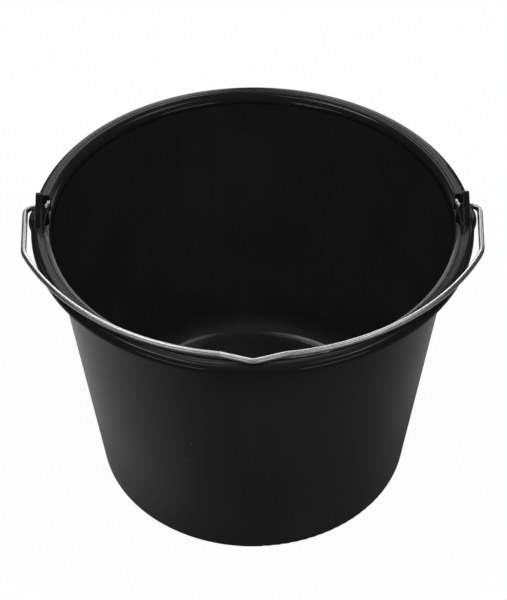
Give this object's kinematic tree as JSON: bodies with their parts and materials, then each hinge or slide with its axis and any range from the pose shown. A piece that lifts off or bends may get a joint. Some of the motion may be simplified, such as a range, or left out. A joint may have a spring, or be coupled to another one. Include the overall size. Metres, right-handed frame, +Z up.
{
  "type": "bucket",
  "caption": "Round tapered builder's bucket in black moulded plastic with a broad flanged rim, ears standing on the rim and a bent wire bail that swings over the mouth.",
  "frame": {"origin": "middle of the foot ring, on the ground", "axes": "+Z up along the bucket's axis, +X through the right ear, -Y towards the side on which the bail lies at rest"},
  "size_m": [0.33, 0.32, 0.2492],
  "materials": {
    "black_plastic": "black moulded plastic with a low satin gloss, a little blotchy on the wall",
    "zinc_wire": "bright zinc-plated drawn steel wire, slightly dulled"
  },
  "bodies": {
    "bucket": {"bucket_body": "black_plastic"},
    "bail": {"wire_bail": "zinc_wire"}
  },
  "joints": [
    {"name": "bail_swing", "type": "hinge", "parent": "bucket", "child": "bail", "pos_m": [0, 0, 0.2362], "axis": [-1, 0, 0], "range_deg": [0, 183.65]}
  ]
}
